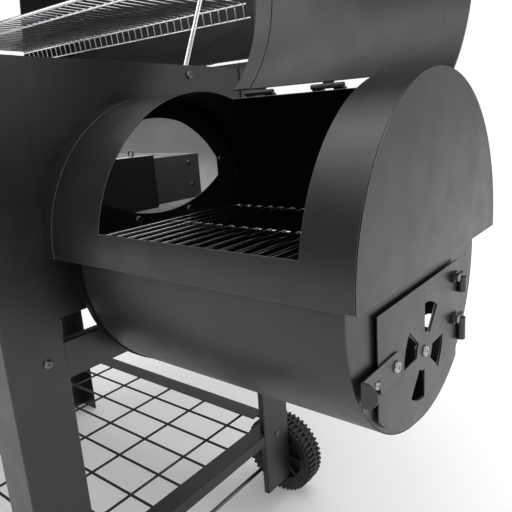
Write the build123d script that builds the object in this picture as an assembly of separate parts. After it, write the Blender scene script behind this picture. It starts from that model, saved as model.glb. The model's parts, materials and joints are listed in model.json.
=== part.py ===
from build123d import *
import os
from math import asin, cos, degrees, radians, sin, sqrt

# Offset barrel smoker. X runs along the chamber towards the firebox, Y towards the back, Z up.
# While parts are built, zero is on the ground under the middle of the main chamber; save_all() then moves
# everything so that the origin is at the bottom centre of the whole object, with both lids open.

# Frame and main chamber
HALF_LENGTH = 403.0      # outer faces of the legs
HALF_DEPTH = 277.5
TOP_Z = 926.5            # top edge of the end panels
PANEL_BOTTOM_Z = 598.0
LEG_FACE = 80.0
LEG_SIDE = 65.0
LEG_LIP = 12.0
LEG_T = 1.8
PANEL_T = 1.5
SHEET_T = 1.2
WHEEL_LEG_BOTTOM_Z = 61.0
PANEL_X = HALF_LENGTH - LEG_T          # outer face of the end panels
INNER_X = PANEL_X - PANEL_T            # inner face of the end panels
TUB_Y = 248.0
TUB_BOTTOM_Z = 650.0
TUB_BEND = 130.0
BRACE_Z = (510.0, 564.0)
RAIL_TOP_Z = 198.0
RAIL_FLANGE = 39.0
RAIL_DROP = 22.0
SHELF_WIRE_R = 2.5
SHELF_X_PITCH = 118.4
SHELF_Y_PITCH = 64.5
BRACE_BOLT_Y = 225.4
BRACE_BOLT_Z = 543.0
RAIL_BOLT_Y = 237.0
RAIL_BOLT_Z = 184.0

# Main lid and the warming rack's linkage
LID_R = 261.4
LID_CENTRE_Z = 850.1
LID_FOOT_Z = 922.0
LID_PIVOT = (264.0, 933.0)
LID_OPEN = 95.0
LID_HINGE_X = (-250.0, 250.0)
LID_END_X = 397.5
ARM_PIVOT = (79.0, 912.0)
ARM_LENGTH = 145.5
ARM_LEAN = 24.0
ARM_X = 389.0
RACK_FRONT_Y = 23.0
RACK_SUPPORT_Y = 70.0
RACK_BACK_Y = 257.0
RACK_Z = 1044.9
RACK_HALF = 376.0
RACK_WIRE_HALF = 384.0
RACK_PITCH = 20.6
WIRE_R = 2.0

# Firebox
BOX_Y = -13.0
BOX_Z = 688.0            # centre of the housing's arch
BOX_END_X = 848.0
HOUSING_R = 190.0
HOUSING_SKIRT = 6.2
COLLAR_END_X = 422.0
BARREL_R = 172.7
BARREL_Z = BOX_Z - 26.6
BARREL_X = (441.2, 826.3)
BARREL_RIM_X = 448.6
OPEN_X = (516.3, 792.8)
OPEN_ANGLES = (71.4, 170.0)
BOX_LID_X = (516.0, 834.0)
BOX_LID_R = (192.4, 193.6)
BOX_LID_ANGLES = (72.0, 173.0)
BOX_LID_HEM = 28.5
BOX_LID_OPEN = 121.0
BOX_PIVOT_R = 196.6
BOX_PIVOT_ANGLE = 70.6
BOX_HINGE_X = (562.0, 673.0, 784.0)
HINGE_LENGTH = 48.0
PIN_R = 1.6
LID_PIN_R = 2.2
FIT = 0.05                # radial clearance of a pin in its hinge or eye
GRATE_Z = BOX_Z + 25.0
CHARCOAL_Z = BOX_Z - 95.0
GRATE_PITCH = 20.0

# Smoke hole between the chambers
HOLE_HALF = 127.0
HOLE_SIDE_Z = (749.0, 797.0)
HOLE_Z = (706.0, 848.0)

# Ash door
DOOR_T = 1.5
DOOR_X = BOX_END_X - 17.0              # outer face
DOOR_Y = (-134.0, 86.0)
DOOR_TOP_Z = BOX_Z - 33.0
DOOR_RIM_R = 167.0
VENT_Y = -19.0
VENT_Z = BOX_Z - 113.0
VENT_SLOT = (22.0, 56.0)
VENT_ANGLES = (48.0, 90.0)
VENT_SKEW = 2.5
DISC_R = 60.0
LATCH_PIVOT = (-98.0, 590.0)
LATCH_T = 1.6
KEEPER = (-139.5, 588.3)
DOOR_AXIS = (834.5, 93.5)
KNUCKLE_R = 5.8
KNUCKLE_Z = ((612.0, 631.0), (548.0, 577.0))
DOOR_BOLT_Y = 69.0
DOOR_PIN_R = 2.9

# Wheels
WHEEL_R = 89.0
WHEEL_W = 52.0
WHEEL_X = 362.0
WHEEL_Y = 283.0          # inner face of each wheel
AXLE_R = 4.0
LUGS = 46

# Chimney
CHIMNEY_R = 38.0
CHIMNEY_X = -468.0
CHIMNEY_Z = (840.0, 1290.0)
CHIMNEY_AXIS_Z = 872.0


# ---------------------------------------------------------------- shape helpers
FROM_BASE = (Align.CENTER, Align.CENTER, Align.MIN)
FROM_TOP = (Align.CENTER, Align.CENTER, Align.MAX)


def block(x0, x1, y0, y1, z0, z1):
    return Pos((x0 + x1) / 2, (y0 + y1) / 2, (z0 + z1) / 2) * Box(x1 - x0, y1 - y0, z1 - z0)


def rod(start, end, r):
    span = Vector(*end) - Vector(*start)
    return Plane(origin=start, z_dir=span) * Cylinder(r, span.length, align=FROM_BASE)


def along_x(face, x0, x1):
    """Extrude a face drawn in Y and Z from x0 to x1."""
    return extrude(Plane.YZ.offset(x0) * face, amount=x1 - x0)


def along_z(face, z0, z1):
    return extrude(Plane.XY.offset(z0) * face, amount=z1 - z0)


def along_y(face, y0, y1):
    """Extrude a face drawn in X and Z from y0 to y1."""
    return extrude(Plane(origin=(0, y0, 0), x_dir=(1, 0, 0), z_dir=(0, -1, 0)) * face, amount=y0 - y1)


def sector(r_in, r_out, a0, a1):
    outer = CenterArc((0, 0), r_out, a0, a1 - a0)
    inner = CenterArc((0, 0), r_in, a0, a1 - a0)
    return make_face([outer, inner, Line(outer @ 0, inner @ 0), Line(outer @ 1, inner @ 1)])


def arc_sheet(x0, x1, centre, r_in, r_out, a0, a1):
    """A curved sheet whose axis runs along X. Angles go from +Y towards +Z."""
    return along_x(Pos(*centre) * sector(r_in, r_out, a0, a1), x0, x1)


def bent_sheet(points, thickness, radius):
    """The section of a folded sheet, thickness to the left of the line through the points."""
    line = FilletPolyline(*points, radius=radius)
    return make_face(offset(line, amount=thickness, side=Side.LEFT))


def wire_path(points, bend, r):
    path = FilletPolyline(*points, radius=bend)
    return sweep(Plane(path @ 0, z_dir=path % 0) * Circle(r), path=path)


def fused(pieces):
    return Part() + list(pieces)


def group(pieces):
    return Compound([solid for piece in pieces for solid in piece.solids()])


def mirror_x(shape):
    return mirror(shape, about=Plane.YZ)


def mirror_y(shape):
    return mirror(shape, about=Plane.XZ)


def screw(head_at, direction, shank, head_r=6.4, shank_r=2.9):
    """A pan-head screw with a cross recess. head_at is under the head, direction is where the head faces."""
    head = Cylinder(head_r, 3.2, align=FROM_BASE)
    head = fillet(head.edges().sort_by(Axis.Z)[-1], 2.6)
    recess = Pos(0, 0, 2.7) * (Box(head_r * 0.95, 1.1, 2.4) + Box(1.1, head_r * 0.95, 2.4))
    body = Cylinder(shank_r, shank, align=FROM_TOP)
    return Plane(origin=head_at, z_dir=direction) * (head - recess + body)


def nut(at, direction, bore_r=3.0, width=10.0, height=5.0):
    body = extrude(RegularPolygon(width / sqrt(3), 6) - Circle(bore_r), amount=height)
    return Plane(origin=at, z_dir=direction) * body


def bore(at, direction, r, depth=12.0):
    return Plane(origin=at, z_dir=direction) * Cylinder(r, depth)


def turned(shape, pivot, angle):
    """Swing a shape open: its front rises and goes back about the pivot (Y, Z)."""
    return shape.rotate(Axis((0, pivot[0], pivot[1]), (-1, 0, 0)), angle)


def polar(centre, r, angle):
    return centre[0] + r * cos(radians(angle)), centre[1] + r * sin(radians(angle))


# ---------------------------------------------------------------- frame
def leg(bottom_z):
    """The leg at +X, +Y: a folded angle with a narrow lip along its inner edge, below the end panel."""
    inner_y = HALF_DEPTH - LEG_FACE
    lip = (HALF_LENGTH - LEG_LIP, inner_y)
    line = [lip, (HALF_LENGTH, inner_y), (HALF_LENGTH, HALF_DEPTH), (HALF_LENGTH - LEG_SIDE, HALF_DEPTH)]
    body = along_z(bent_sheet(line, LEG_T, 3.0), bottom_z, TOP_Z)
    body -= block(lip[0] - 1, HALF_LENGTH + 1, inner_y - 1, inner_y + 3.2, PANEL_BOTTOM_Z - 2, TOP_Z + 1)
    for z0, z1 in (BRACE_Z, (RAIL_TOP_Z - RAIL_DROP, RAIL_TOP_Z)):
        body -= block(lip[0] - 1, HALF_LENGTH - LEG_T, inner_y - 1, inner_y + 5, z0 - 2, z1 + 2)
    for y, z in ((BRACE_BOLT_Y, BRACE_BOLT_Z), (RAIL_BOLT_Y, RAIL_BOLT_Z)):
        body -= bore((HALF_LENGTH, y, z), (1, 0, 0), 3.2)
    if bottom_z:
        body -= bore((WHEEL_X, HALF_DEPTH, WHEEL_R), (0, 1, 0), AXLE_R + 0.4)
    return body


def brace():
    """Upper brace at +X: a channel facing the chamber. It passes through notches in the legs' lips."""
    x = PANEL_X - 0.1
    line = [(x - 22, BRACE_Z[0]), (x, BRACE_Z[0]), (x, BRACE_Z[1]), (x - 14, BRACE_Z[1])]
    body = along_y(bent_sheet(line, LEG_T, 2.5), -244, 244)
    for y in (-BRACE_BOLT_Y, BRACE_BOLT_Y):
        body -= bore((x, y, BRACE_BOLT_Z), (1, 0, 0), 3.2, 8)
    return body


def end_rail():
    """Lower end rail at +X: an angle whose top flange faces inwards."""
    x = PANEL_X - 0.1
    line = [(x, RAIL_TOP_Z - RAIL_DROP), (x, RAIL_TOP_Z), (x - RAIL_FLANGE, RAIL_TOP_Z)]
    body = along_y(bent_sheet(line, LEG_T, 2.5), -252, 252)
    for y in (-RAIL_BOLT_Y, RAIL_BOLT_Y):
        body -= bore((x, y, RAIL_BOLT_Z), (1, 0, 0), 3.2, 8)
    return body


def side_rail():
    """Lower side rail at +Y, between the legs' side flanges."""
    y = HALF_DEPTH - 0.1
    end_x = HALF_LENGTH - LEG_SIDE - 0.3
    line = [(y, RAIL_TOP_Z - RAIL_DROP), (y, RAIL_TOP_Z), (y - RAIL_FLANGE, RAIL_TOP_Z)]
    middle = along_x(bent_sheet(line, LEG_T, 2.5), -end_x, end_x)
    tongue = block(end_x - 30, end_x + 22, y - 3.7, y - LEG_T + 0.2, RAIL_TOP_Z - 20, RAIL_TOP_Z - 5)
    tongue -= block(end_x, end_x + 30, y - LEG_T - 0.2, y, RAIL_TOP_Z - 30, RAIL_TOP_Z)
    return fused([middle, tongue, mirror_x(tongue)])


def shelf():
    """Square-cornered wire shelf: long wires along X under cross wires along Y."""
    z = RAIL_TOP_Z - LEG_T - SHELF_WIRE_R - 0.1
    x_reach = HALF_LENGTH - LEG_LIP - 8
    y_reach = HALF_DEPTH - 8
    x_wires = []
    for n in range(-3, 4):
        y = n * SHELF_Y_PITCH
        x_wires.append(rod((-x_reach, y, z), (x_reach, y, z), SHELF_WIRE_R))
    first = -2.5 * SHELF_X_PITCH
    y_wires = []
    for n in range(6):
        x = first + n * SHELF_X_PITCH
        y_wires.append(rod((x, -y_reach, z - 3.6), (x, y_reach, z - 3.6), SHELF_WIRE_R))
    return fused([*x_wires, *y_wires])


# ---------------------------------------------------------------- main chamber
def smoke_hole():
    """Lens-shaped opening: a top arc, a flatter bottom arc and short upright sides."""
    side_low, side_high = HOLE_SIDE_Z
    top = ThreePointArc((HOLE_HALF, side_high), (0, HOLE_Z[1]), (-HOLE_HALF, side_high))
    bottom = ThreePointArc((-HOLE_HALF, side_low), (0, HOLE_Z[0]), (HOLE_HALF, side_low))
    sides = [Line(top @ 1, bottom @ 0), Line(bottom @ 1, top @ 0)]
    return make_face([top, bottom, *sides])


def end_panel():
    """End panel at +X: a flat plate behind the legs with a flange folded in along the bottom."""
    reach = HALF_DEPTH - LEG_T - 2.5
    plate = block(INNER_X, PANEL_X - 0.1, -reach, reach, PANEL_BOTTOM_Z, TOP_Z)
    flange = block(INNER_X - 16, INNER_X, -180, 180, PANEL_BOTTOM_Z, PANEL_BOTTOM_Z + PANEL_T)
    return plate + flange - bore((PANEL_X, *ARM_PIVOT), (1, 0, 0), 3.1)


def end_panel_right():
    body = end_panel() - along_x(smoke_hole(), INNER_X - 1, PANEL_X + 1)
    for y, z in ring_screws() + low_screws():
        body -= bore((PANEL_X, y, z), (1, 0, 0), 3.2)
    return body


def end_panel_left():
    return mirror_x(end_panel()) - bore((-PANEL_X, 0, CHIMNEY_AXIS_Z), (1, 0, 0), CHIMNEY_R - 3)


def tub():
    """Lower shell: upright walls, two wide bends and a flat bottom, with a narrow ledge along each top edge.
    The back edge also carries a raised strip behind the lid, notched at the lid's hinges."""
    y, top = TUB_Y, TOP_Z - 8
    x = INNER_X - 0.2
    line = FilletPolyline((-y, top), (-y, TUB_BOTTOM_Z), (y, TUB_BOTTOM_Z), (y, top), radius=TUB_BEND)
    shell = along_x(make_face(offset(line, amount=SHEET_T, side=Side.LEFT)), -x, x)
    ledge = block(-x, x, y - 8, y - SHEET_T + 0.2, top - SHEET_T, top)
    strip = block(-x, x, y - SHEET_T + 0.2, y + 9.7, top - SHEET_T, top)
    strip += block(-x, x, y + 8.5, y + 9.7, top - SHEET_T, TOP_Z + 16)
    for hinge_x in LID_HINGE_X:
        strip -= block(hinge_x - 37, hinge_x + 37, y + 0.05, y + 12, top - 5, top + 1)
        strip -= block(hinge_x - 13, hinge_x + 13, y + 0.05, y + 12, top - 5, TOP_Z + 20)
    return fused([shell, ledge, mirror_y(ledge), strip])


def grate_rests():
    """Two angles fixed to the tub's walls, and two cross bars for the charcoal tray."""
    x = INNER_X - 4
    y = TUB_Y - SHEET_T - 0.1
    line = [(y, 866), (y, 880), (y - 18, 880)]
    angle = along_x(bent_sheet(line, 1.8, 2.4), -x, x)
    bars = []
    for bar_x in (-230, 230):
        half = sqrt((TUB_BEND - SHEET_T) ** 2 - 76.0 ** 2) + TUB_Y - TUB_BEND - 6
        bars.append(rod((bar_x, -half, TUB_BOTTOM_Z + 54), (bar_x, half, TUB_BOTTOM_Z + 54), 3.5))
    return group([angle, mirror_y(angle), *bars])


def wire_grate(x0, x1, y0, y1, z, pitch, r, bars, bar_r):
    """Parallel rods along Y welded over bars along X. z is the rods' centre height."""
    count = int((x1 - x0) / pitch)
    start = (x0 + x1) / 2 - count * pitch / 2
    rods = [rod((start + n * pitch, y0, z), (start + n * pitch, y1, z), r) for n in range(count + 1)]
    bar_z = z - r - bar_r + 0.9
    rails = [rod((start - r, y, bar_z), (start + count * pitch + r, y, bar_z), bar_r) for y in bars]
    return fused([*rods, *rails])


def cooking_grate(side):
    x0, x1 = (4, 379) if side > 0 else (-379, -4)
    return wire_grate(x0, x1, -236, 236, 887.6, 15.0, 2.6, (-231, -80, 80, 231), 2.6)


def charcoal_tray():
    x, y, z = 346.0, 137.0, TUB_BOTTOM_Z + 58
    wall = 77.0
    outer = block(-x, x, -y, y, z, z + wall)
    inner = block(-x + SHEET_T, x - SHEET_T, -y + SHEET_T, y - SHEET_T, z + SHEET_T, z + wall + 1)
    body = outer - inner
    for hole_x in range(-300, 301, 60):
        for hole_y in (-75, 0, 75):
            body -= bore((hole_x, hole_y, z), (0, 0, 1), 7)
    return body


def tray_bracket():
    """Folded bracket on the tray's end, with a wire ring for lifting it."""
    x0, x1 = 346.2, 374.0
    y0, y1, z0, z1 = -120.0, 12.0, 709.0, 792.0
    shell = block(x0, x1, y0, y1, z0, z1) - block(x0 - 1, x1 - 1.6, y0 + 1.6, y1 - 1.6, z0 - 1, z1 - 1.6)
    shell = fused([shell, block(x0, x0 + 2.2, y0, y1, z0, z1)])
    ring = Pos(360, -20, z1 + 5) * Rot(90, 0, 0) * Torus(5.0, 1.3)
    screws = [screw((346.2, y, z), (1, 0, 0), 0.2, 4.2, 2.0) for y, z in ((112, 771), (116, 732))]
    return group([fused([shell, ring]), *screws])


def main_lid():
    """Curved lid, drawn shut, with a hem folded inside along its front edge."""
    foot = degrees(asin((LID_FOOT_Z - LID_CENTRE_Z) / LID_R))
    centre = (0, LID_CENTRE_Z)
    skin = arc_sheet(-LID_END_X, LID_END_X, centre, LID_R - SHEET_T, LID_R, foot, 180 - foot)
    x = LID_END_X - 2
    hem = arc_sheet(-x, x, centre, LID_R - 2.3, LID_R - SHEET_T + 0.2, 176 - foot, 180 - foot)
    lid = fused([skin, hem])
    for x in HANDLE_POSTS_X:
        lid -= handle_bore(x)
    return lid - gauge_bore()


HANDLE_POSTS_X = (-230.0, 230.0)
HANDLE_ANGLE = 152.0
GAUGE_ANGLE = 118.0


def lid_point(angle, r):
    return polar((0, LID_CENTRE_Z), r, angle)


def lid_direction(angle):
    return 0, cos(radians(angle)), sin(radians(angle))


def handle_bore(x):
    return bore((x, *lid_point(HANDLE_ANGLE, LID_R)), lid_direction(HANDLE_ANGLE), 3.2)


def gauge_bore():
    return bore((0, *lid_point(GAUGE_ANGLE, LID_R)), lid_direction(GAUGE_ANGLE), 6.3)


def lid_end(side):
    """Segment-shaped plate that closes one end of the lid."""
    r = LID_R - SHEET_T - 0.1
    half = sqrt(r ** 2 - (LID_FOOT_Z - LID_CENTRE_Z) ** 2)
    arc = ThreePointArc((half, LID_FOOT_Z), (0, LID_CENTRE_Z + r), (-half, LID_FOOT_Z))
    face = make_face([arc, Line((-half, LID_FOOT_Z), (half, LID_FOOT_Z))])
    face -= Pos(-half, LID_FOOT_Z) * Rectangle(12, 60)
    x = LID_END_X if side > 0 else -LID_END_X + SHEET_T
    plate = along_x(face, x - SHEET_T, x)
    return plate - bore((side * LID_END_X, *LINK_AT), (1, 0, 0), 3.1)


def arm_tip(pivot):
    return pivot[0] + ARM_LENGTH * sin(radians(ARM_LEAN)), pivot[1] + ARM_LENGTH * cos(radians(ARM_LEAN))


def closed_link():
    """Where the link stud sits when the lid is shut: the arm's line turned back by the lid's travel."""
    lean = radians(ARM_LEAN - LID_OPEN)
    return LID_PIVOT[0] + ARM_LENGTH * sin(lean), LID_PIVOT[1] + ARM_LENGTH * cos(lean)


LINK_AT = closed_link()


def link_studs():
    """Studs on the lid's end plates that carry the back of the warming rack."""
    studs = []
    for side in (-1, 1):
        stud = rod((side * 371.0, *LINK_AT), (side * (LID_END_X + 1.0), *LINK_AT), 2.9)
        head = rod((side * (LID_END_X + 0.1), *LINK_AT), (side * (LID_END_X + 2.4), *LINK_AT), 6.0)
        shoulder = rod((side * 393.0, *LINK_AT), (side * (LID_END_X - SHEET_T - 0.1), *LINK_AT), 5.0)
        studs.append(fused([stud, head, shoulder]))
    return group(studs)


def handle_axis():
    y, z = lid_point(HANDLE_ANGLE, LID_R + 58)
    return (-280, y, z), (280, y, z)


def handle_bar():
    bar = fillet(rod(*handle_axis(), 11).edges(), 4.0)
    for x in HANDLE_POSTS_X:
        bar -= bore((x, *lid_point(HANDLE_ANGLE, LID_R + 44)), lid_direction(HANDLE_ANGLE), 3.1, 24)
    return bar


def handle_posts():
    """Posts saddled to the bar, each with the screw that runs through it from inside the lid."""
    pieces = []
    outward = lid_direction(HANDLE_ANGLE)
    inward = tuple(-v for v in outward)
    for x in HANDLE_POSTS_X:
        base = (x, *lid_point(HANDLE_ANGLE, LID_R + 0.3))
        post = Plane(origin=base, z_dir=outward) * Cylinder(9.0, 50, align=FROM_BASE)
        pieces.append(post - rod(*handle_axis(), 11.1) - bore(base, outward, 3.1, 120))
        pieces.append(screw((x, *lid_point(HANDLE_ANGLE, LID_R - SHEET_T - 0.3)), inward, 52.0))
    return group(pieces)


def gauge_plane(r):
    return Plane(origin=(0, *lid_point(GAUGE_ANGLE, r)), x_dir=(1, 0, 0), z_dir=lid_direction(GAUGE_ANGLE))


def thermometer_body():
    face = LID_R + 3.5
    cup = Cylinder(36, 12, align=FROM_BASE)
    cup = fillet(cup.edges().sort_by(Axis.Z)[-1], 2.0)
    cup -= Pos(0, 0, 1.5) * Cylinder(31.5, 20, align=FROM_BASE)
    stem = Pos(0, 0, -60) * Cylinder(3.0, 60.5, align=FROM_BASE)
    neck = Pos(0, 0, -16) * Cylinder(5.8, 16.2, align=FROM_BASE)
    return gauge_plane(face) * fused([cup, stem, neck])


def thermometer_dial():
    return gauge_plane(LID_R + 5.1) * Cylinder(31.0, 1.0, align=FROM_BASE)


def thermometer_needle():
    hub = Cylinder(3.2, 1.6, align=FROM_BASE)
    hand = Pos(-6, 0, 0.4) * Box(30, 1.8, 0.8, align=FROM_BASE)
    return gauge_plane(LID_R + 6.2) * Rot(0, 0, 35) * fused([hub, hand])


def lid_hinge_fixed():
    """Lower leaves on the tub's back wall, and the hinge pins."""
    pieces = []
    y, z = LID_PIVOT
    wall = TUB_Y + 0.2
    for x in LID_HINGE_X:
        leaf = [block(x - 34, x + 34, wall, wall + 2, z - 60, z - 15)]
        for x0, x1 in ((x - 34, x - 12), (x + 12, x + 34)):
            leaf.append(rod((x0, *LID_PIVOT), (x1, *LID_PIVOT), 4.6))
            leaf.append(block(x0, x1, wall, y + 2.0, z - 17, z - 15))
            leaf.append(block(x0, x1, y, y + 2.0, z - 17, z - 3))
        pieces.append(fused(leaf) - rod((x - 40, *LID_PIVOT), (x + 40, *LID_PIVOT), LID_PIN_R + FIT))
        pieces.append(rod((x - 36, *LID_PIVOT), (x + 36, *LID_PIVOT), LID_PIN_R))
    return group(pieces)


def lid_hinge_moving():
    """Upper leaves on the lid's back, drawn with the lid shut."""
    pieces = []
    centre = (0, LID_CENTRE_Z)
    for x in LID_HINGE_X:
        barrel = rod((x - 11.5, *LID_PIVOT), (x + 11.5, *LID_PIVOT), 4.6)
        pad = arc_sheet(x - 28, x + 28, centre, LID_R + 0.2, LID_R + 2.2, 18.4, 32.0)
        bridge = arc_sheet(x - 11.5, x + 11.5, centre, LID_R + 0.2, LID_R + 14.6, 17.9, 18.7)
        body = fused([barrel, pad, bridge])
        pieces.append(body - rod((x - 40, *LID_PIVOT), (x + 40, *LID_PIVOT), LID_PIN_R + FIT))
    return group(pieces)


# ---------------------------------------------------------------- warming rack
def warming_rack():
    """Chrome wire rack: bent cross wires, a fence along the back, a thick rod along the front."""
    tip = arm_tip(ARM_PIVOT)
    link = arm_tip(LID_PIVOT)
    low_z = RACK_Z - 25.0
    cross_path = [(0, RACK_FRONT_Y, RACK_Z), (0, RACK_BACK_Y + 5, RACK_Z), (0, RACK_BACK_Y + 8, low_z)]
    cross = wire_path(cross_path, 7.0, 1.6)
    count = 36
    wires = [Pos(-count * RACK_PITCH / 2 + n * RACK_PITCH, 0, 0) * cross for n in range(count + 1)]
    rows = [(RACK_SUPPORT_Y, RACK_Z - 2.9, 2.0), (RACK_BACK_Y, RACK_Z - 2.9, 2.0)]
    rows += [(RACK_FRONT_Y, RACK_Z + 0.6, 3.4), (RACK_BACK_Y + 10.7, low_z, 2.0)]
    long_wires = [rod((-RACK_WIRE_HALF, y, z), (RACK_WIRE_HALF, y, z), r) for y, z, r in rows]
    ends = []
    for side in (-1, 1):
        x = side * RACK_HALF
        path = [(x, RACK_FRONT_Y, RACK_Z), (x, *tip), (x, link[0] - 7.2, link[1])]
        ends.append(wire_path(path, 20.0, 2.6))
        for y, z in (tip, link):
            ends.append(rod((x - 3, y, z), (x + 3, y, z), 7.4))
    body = fused([*wires, *long_wires, *ends])
    for side in (-1, 1):
        body -= rod((side * 370, *tip), (side * 383, *tip), 3.0 + FIT)
        body -= rod((side * 370, *link), (side * 383, *link), 3.4)
    return body


def rack_arm(side):
    """Swing arm: a wire bent double, with an eye at the pivot and a cranked pin at the rack."""
    tip = arm_tip(ARM_PIVOT)
    lean = radians(ARM_LEAN)
    across = (cos(lean), -sin(lean))
    x = side * ARM_X
    pieces = []
    for offset_by in (-2.5, 2.5):
        start = (x, ARM_PIVOT[0] + across[0] * offset_by + sin(lean) * 5,
                 ARM_PIVOT[1] + across[1] * offset_by + cos(lean) * 5)
        end = (x, tip[0] + across[0] * offset_by, tip[1] + across[1] * offset_by)
        pieces.append(rod(start, end, 1.6))
    pieces.append(rod((x - 3, *ARM_PIVOT), (x + 3, *ARM_PIVOT), 7.0))
    pieces.append(rod((x - 2.5, *tip), (x + 2.5, *tip), 6.0))
    pieces.append(rod((side * 373.2, *tip), (x, *tip), 3.0))
    return fused(pieces) - rod((x - 9, *ARM_PIVOT), (x + 9, *ARM_PIVOT), 3.0 + FIT)


def arm_bolts():
    bolts = []
    for side in (-1, 1):
        bolt = screw((side * (PANEL_X + 0.1), *ARM_PIVOT), (side, 0, 0), PANEL_X - ARM_X + 6.0, 6.4, 3.0)
        collar = rod((side * (ARM_X + 3.3), *ARM_PIVOT), (side * (INNER_X - 0.1), *ARM_PIVOT), 5.0)
        bolts.append(fused([bolt, collar]))
    return group(bolts)


# ---------------------------------------------------------------- firebox
def box_point(r, angle):
    return polar((BOX_Y, BOX_Z), r, angle)


BOX_PIVOT = box_point(BOX_PIVOT_R, BOX_PIVOT_ANGLE)


def arch_face(r_out, thickness, skirt):
    """Half ring with straight skirts below its ends."""
    ring = sector(r_out - thickness, r_out, 0, 180)
    leg_face = Pos(r_out - thickness / 2, -skirt / 2) * Rectangle(thickness, skirt)
    return ring + leg_face + mirror(leg_face, about=Plane.YZ)


def housing():
    """Upper arch of the firebox with the lid opening and ledges turned in under its lower edges."""
    at = Pos(BOX_Y, BOX_Z)
    x0, x1 = HALF_LENGTH + 0.3, BOX_END_X - PANEL_T - 0.1
    body = along_x(at * arch_face(HOUSING_R, SHEET_T, HOUSING_SKIRT), x0, x1)
    low = BOX_Z - HOUSING_SKIRT
    front_ledge = block(x0, x1, BOX_Y - HOUSING_R, BOX_Y - 165, low, low + SHEET_T)
    back_ledge = block(x0, x1, BOX_Y + 165, BOX_Y + HOUSING_R, low, low + SHEET_T)
    right_ledge = block(BARREL_X[1] - 14, x1, BOX_Y - 170, BOX_Y + 170, low, low + SHEET_T)
    left_ledge = block(x0, BARREL_RIM_X, BOX_Y - 170, BOX_Y + 170, low, low + SHEET_T)
    body = fused([body, front_ledge, back_ledge, right_ledge, left_ledge])
    opening = at * sector(HOUSING_R - 4, HOUSING_R + 4, *OPEN_ANGLES)
    body -= along_x(opening, *OPEN_X)
    return body


def housing_end():
    """Flat end plate of the housing."""
    arc = ThreePointArc((HOUSING_R, 0), (0, HOUSING_R), (-HOUSING_R, 0))
    low = [(-HOUSING_R, 0), (-HOUSING_R, -HOUSING_SKIRT), (HOUSING_R, -HOUSING_SKIRT), (HOUSING_R, 0)]
    face = make_face([arc, Polyline(*low)])
    return along_x(Pos(BOX_Y, BOX_Z) * face, BOX_END_X - PANEL_T, BOX_END_X)


def collar():
    """Band round the housing's end next to the chamber."""
    face = Pos(BOX_Y, BOX_Z) * arch_face(HOUSING_R + 1.3, 1.2, HOUSING_SKIRT)
    band = along_x(face, PANEL_X, COLLAR_END_X)
    return band - block(PANEL_X - 1, HALF_LENGTH + 0.3, -220, -200.4, 600, 930)


def ring_screws():
    """Screws through the ring inside the housing, as (Y, Z)."""
    return [(BOX_Y - 146.0, 776.0), (BOX_Y + 146.0, 776.0)]


def low_screws():
    """Screws through the end panel alone, under the smoke hole, as (Y, Z)."""
    return [(-52.0, 701.5), (52.0, 701.5)]


def mounting_ring():
    """Arched angle inside the housing, screwed to the end panel."""
    flat = arc_sheet(PANEL_X + 0.1, PANEL_X + 1.6, (BOX_Y, BOX_Z), 165, 183, 16, 164)
    band = arc_sheet(PANEL_X + 0.1, COLLAR_END_X - 2, (BOX_Y, BOX_Z), 181.8, 183, 16, 164)
    body = fused([flat, band])
    for y, z in ring_screws():
        body -= bore((PANEL_X, y, z), (1, 0, 0), 3.2)
    return body


def firebox_screws():
    screws = [screw((PANEL_X + 1.7, y, z), (1, 0, 0), 6.0) for y, z in ring_screws()]
    screws += [screw((PANEL_X + 0.1, y, z), (1, 0, 0), 6.0) for y, z in low_screws()]
    return group(screws)


def barrel():
    """Lower shell of the firebox, open at the top between its two upper edges."""
    edge = degrees(asin((BOX_Z - HOUSING_SKIRT - 0.1 - BARREL_Z) / BARREL_R))
    shell = arc_sheet(*BARREL_X, (BOX_Y, BARREL_Z), BARREL_R - SHEET_T, BARREL_R, 180 - edge, 360 + edge)
    port = Plane(origin=(BOX_END_X - 66, BOX_Y + 133, BOX_Z - 135), z_dir=(0, 133, -108.4)) * Cylinder(10, 40)
    return shell - port


def barrel_left_disc():
    """Dished disc that closes the barrel next to the chamber, cut level with the housing's ledge."""
    r = BARREL_R + 0.1
    top = BOX_Z - HOUSING_SKIRT - 0.1
    edge = degrees(asin((top - 0.4 - BARREL_Z) / r))
    rim = arc_sheet(BARREL_X[0] - 1.7, BARREL_RIM_X, (BOX_Y, BARREL_Z), r, r + 1.6, 180 - edge, 360 + edge)
    wall = along_x(Pos(BOX_Y, BARREL_Z) * Circle(r + 1.6), BARREL_X[0] - 1.7, BARREL_X[0] - 0.1)
    wall -= block(430, 450, BOX_Y - 200, BOX_Y + 200, top, top + 200)
    return fused([rim, wall])


def ash_opening():
    """Opening in the end cap behind the ash door."""
    r = 158.0
    face = Circle(r) & (Pos(-4, -93) * Rectangle(188, 142))
    return Pos(BOX_Y, BARREL_Z) * face


def end_cap():
    """Right end of the barrel with the ash opening."""
    top = BOX_Z - HOUSING_SKIRT - 0.1
    disc = along_x(Pos(BOX_Y, BARREL_Z) * Circle(BARREL_R - SHEET_T - 0.1), BARREL_X[1] - 1.5, BARREL_X[1])
    flange = along_x(Pos(BOX_Y, BARREL_Z) * (Circle(BARREL_R - SHEET_T - 0.1) - Circle(BARREL_R - 2.6)),
                     BARREL_X[1] - 10, BARREL_X[1])
    body = fused([disc, flange]) - block(800, 840, BOX_Y - 200, BOX_Y + 200, top, top + 200)
    body -= along_x(ash_opening(), BARREL_X[1] - 12, BARREL_X[1] + 1)
    return body - bore((BARREL_X[1], *KEEPER), (1, 0, 0), 2.6)


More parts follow.
